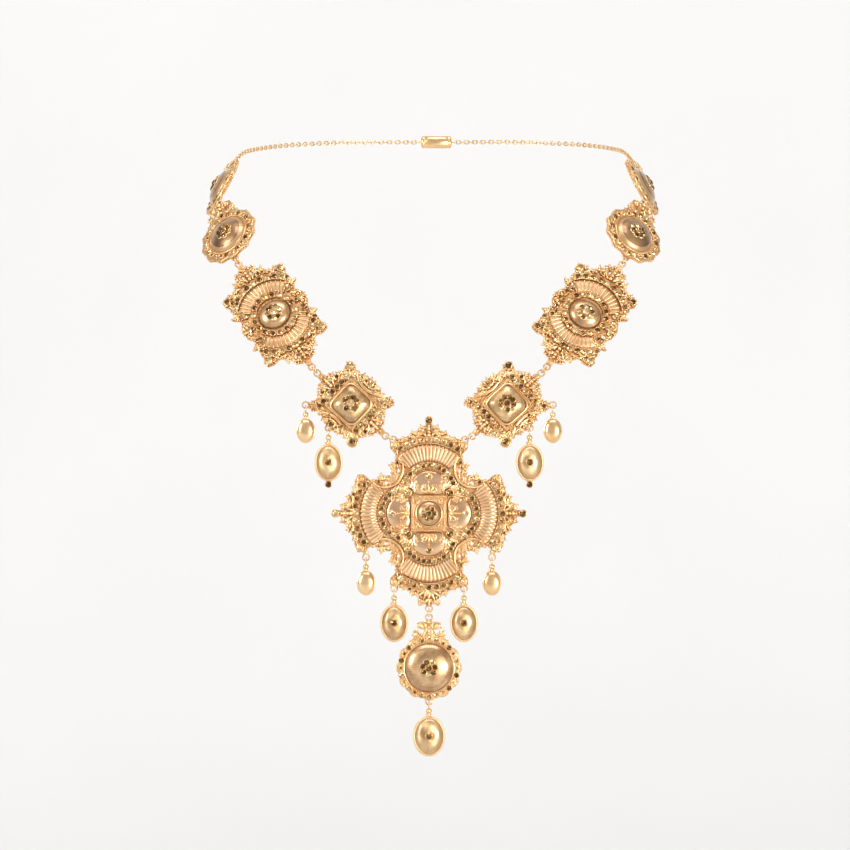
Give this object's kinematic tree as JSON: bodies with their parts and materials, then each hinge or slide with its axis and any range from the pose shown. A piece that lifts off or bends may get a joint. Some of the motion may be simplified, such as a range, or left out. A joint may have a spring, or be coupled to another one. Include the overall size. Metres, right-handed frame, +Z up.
{
  "type": "cross pendant necklace",
  "caption": "Baroque necklace worn round a neck: a cross of four rib fans on square, panel and round castings, with a hanging medallion, oval drops and a back chain.",
  "frame": {"origin": "at the nape, on the inner face of the clasp where the necklace rests on the neck", "axes": "+Z up, -Y towards the wearer's front, where the cross hangs, +X towards the wearer's left"},
  "size_m": [0.1574, 0.1382, 0.2158],
  "materials": {
    "antique_gold": "antiqued pale gold plate on cast relief, bright on the high edges and brown in the hollows",
    "polished_gold": "smooth pale gold plate",
    "rose_gold": "smooth satin gold with a rose cast",
    "jump_ring_gold": "bright drawn wire",
    "chain_gold": "fine cable chain, pale gold",
    "foiled_glass": "clear champagne glass cabochon over finely ribbed gold foil",
    "smoked_stones": "small faceted smoky topaz stones with gold reflections"
  },
  "bodies": {
    "necklace": {"back_chain_left": "chain_gold", "back_chain_right": "chain_gold", "clasp": "jump_ring_gold", "left_large_drop_setting": "antique_gold", "left_large_drop_stone": "foiled_glass", "left_lozenge_dome": "foiled_glass", "left_lozenge_flower": "smoked_stones", "left_lozenge_frame": "antique_gold", "left_panel_dome": "foiled_glass", "left_panel_flower": "smoked_stones", "left_panel_frame": "antique_gold", "left_round_back_dome": "foiled_glass", "left_round_back_flower": "smoked_stones", "left_round_back_frame": "antique_gold", "left_round_front_dome": "foiled_glass", "left_round_front_flower": "smoked_stones", "left_round_front_frame": "antique_gold", "left_small_drop": "polished_gold", "link_left_lozenge": "jump_ring_gold", "link_left_panel": "jump_ring_gold", "link_left_round_back": "jump_ring_gold", "link_left_round_front": "jump_ring_gold", "link_right_lozenge": "jump_ring_gold", "link_right_panel": "jump_ring_gold", "link_right_round_back": "jump_ring_gold", "link_right_round_front": "jump_ring_gold", "right_large_drop_setting": "antique_gold", "right_large_drop_stone": "foiled_glass", "right_lozenge_dome": "foiled_glass", "right_lozenge_flower": "smoked_stones", "right_lozenge_frame": "antique_gold", "right_panel_dome": "foiled_glass", "right_panel_flower": "smoked_stones", "right_panel_frame": "antique_gold", "right_round_back_dome": "foiled_glass", "right_round_back_flower": "smoked_stones", "right_round_back_frame": "antique_gold", "right_round_front_dome": "foiled_glass", "right_round_front_flower": "smoked_stones", "right_round_front_frame": "antique_gold", "right_small_drop": "polished_gold"},
    "cross": {"cross_dome": "foiled_glass", "cross_flower": "smoked_stones", "cross_frame": "antique_gold", "cross_large_drop_left_setting": "antique_gold", "cross_large_drop_left_stone": "foiled_glass", "cross_large_drop_right_setting": "antique_gold", "cross_large_drop_right_stone": "foiled_glass", "cross_lobe_bottom": "rose_gold", "cross_lobe_left": "rose_gold", "cross_lobe_right": "rose_gold", "cross_lobe_top": "rose_gold", "cross_small_drop_left": "polished_gold", "cross_small_drop_right": "polished_gold", "link_medallion": "jump_ring_gold"},
    "medallion": {"medallion_dome": "foiled_glass", "medallion_flower": "smoked_stones", "medallion_frame": "antique_gold", "terminal_drop_setting": "antique_gold", "terminal_drop_stone": "foiled_glass"}
  },
  "joints": [
    {"name": "cross_swing", "type": "hinge", "parent": "necklace", "child": "cross", "pos_m": [0, -0.13057, -0.1074], "axis": [1, 0, 0], "range_deg": [-30, 30]},
    {"name": "medallion_swing", "type": "hinge", "parent": "cross", "child": "medallion", "pos_m": [0, -0.13057, -0.16545], "axis": [1, 0, 0], "range_deg": [-40, 40]}
  ]
}
